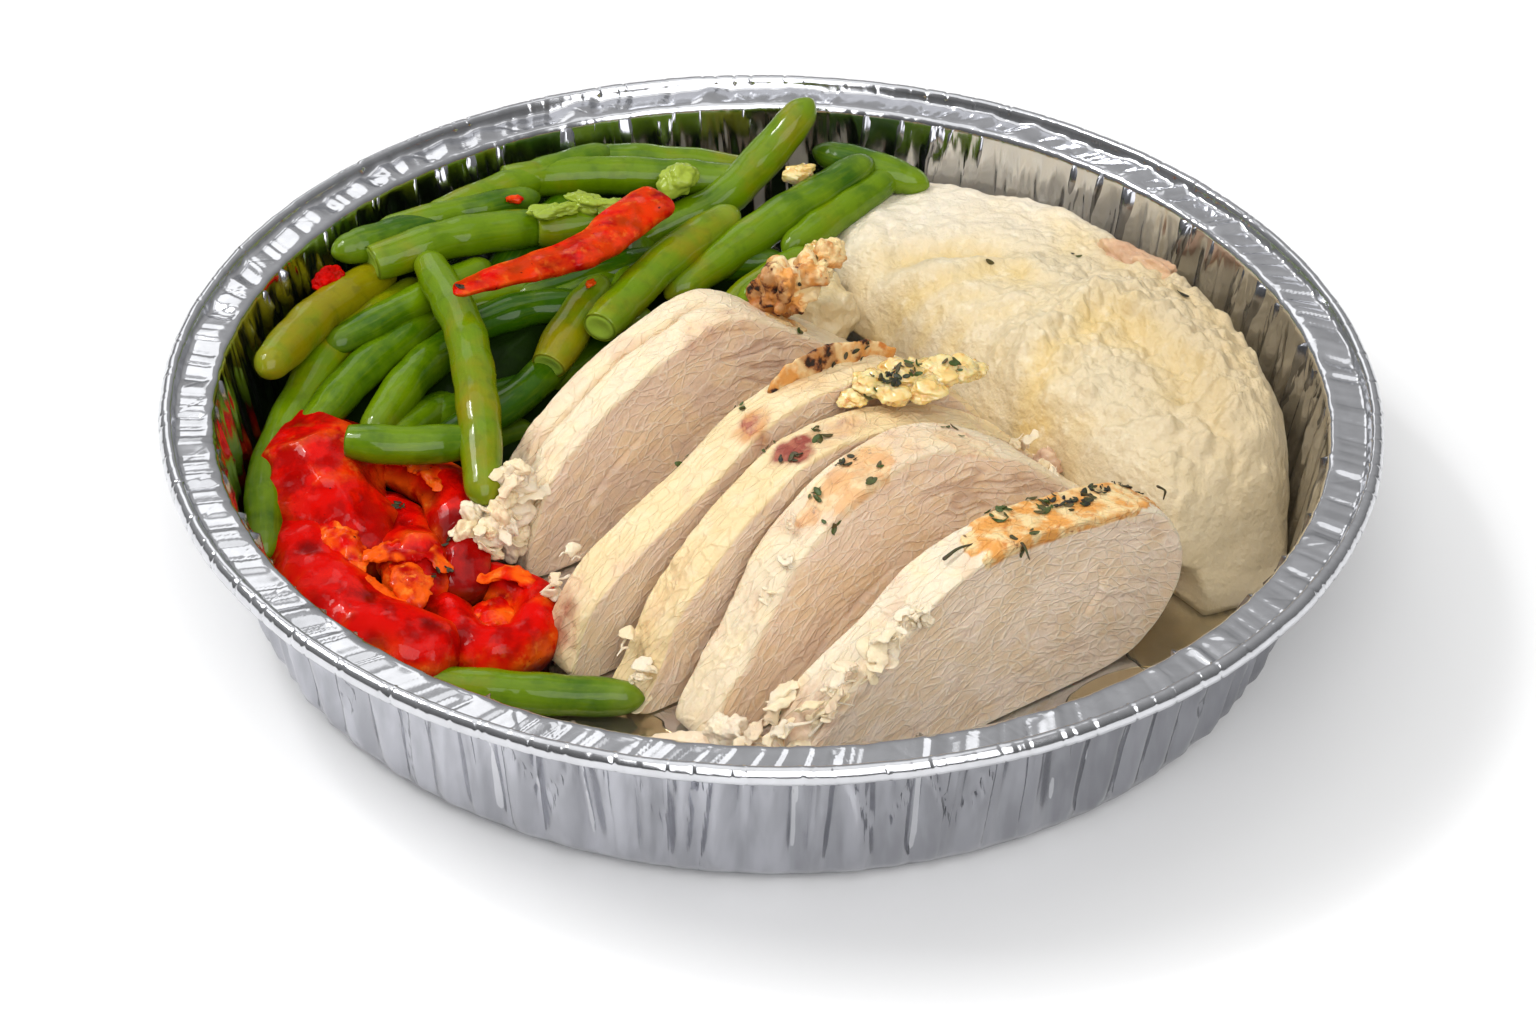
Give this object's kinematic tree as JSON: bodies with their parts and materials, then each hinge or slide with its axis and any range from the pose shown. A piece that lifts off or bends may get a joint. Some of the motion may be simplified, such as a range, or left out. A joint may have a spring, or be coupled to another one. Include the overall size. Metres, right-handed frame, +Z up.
{
  "type": "foil tray meal",
  "caption": "Round crimped foil tray holding a meal of sliced roast chicken breast, green beans, roasted red peppers and mashed potato.",
  "frame": {"origin": "centre of the tray's underside, on the surface it stands on", "axes": "+Z up; +X to the right and +Y to the far side of the meal as it is served, with the beans at the far left"},
  "size_m": [0.2288, 0.2288, 0.0433],
  "materials": {
    "foil": "bright crimped household foil, lightly wrinkled",
    "chicken": "moist roast breast meat with fine fibres, browned and herbed along its skin side",
    "browned": "browned roast edge with charred spots",
    "mash": "soft buttery mash, satin",
    "bean": "cooked green skin, wet gloss",
    "pepper": "roasted red skin and flesh, wet gloss",
    "onion": "soft cooked onion with herb flecks, moist"
  },
  "bodies": {
    "root": {"tray": "foil", "chicken_slice_1": "chicken", "chicken_slice_2": "chicken", "chicken_slice_3": "chicken", "chicken_slice_4": "chicken", "chicken_slice_5": "chicken", "mash": "mash", "pepper_piece_1": "pepper", "pepper_piece_2": "pepper", "pepper_piece_3": "pepper", "pepper_piece_4": "pepper", "pepper_piece_5": "pepper", "front_bean": "bean", "pepper_strip": "pepper", "browned_morsel": "browned", "onion_herb_lump": "onion", "back_morsel": "chicken", "pepper_bit": "pepper", "chicken_scrap": "chicken", "chicken_crumb": "chicken", "green_beans": "bean"}
  },
  "joints": []
}
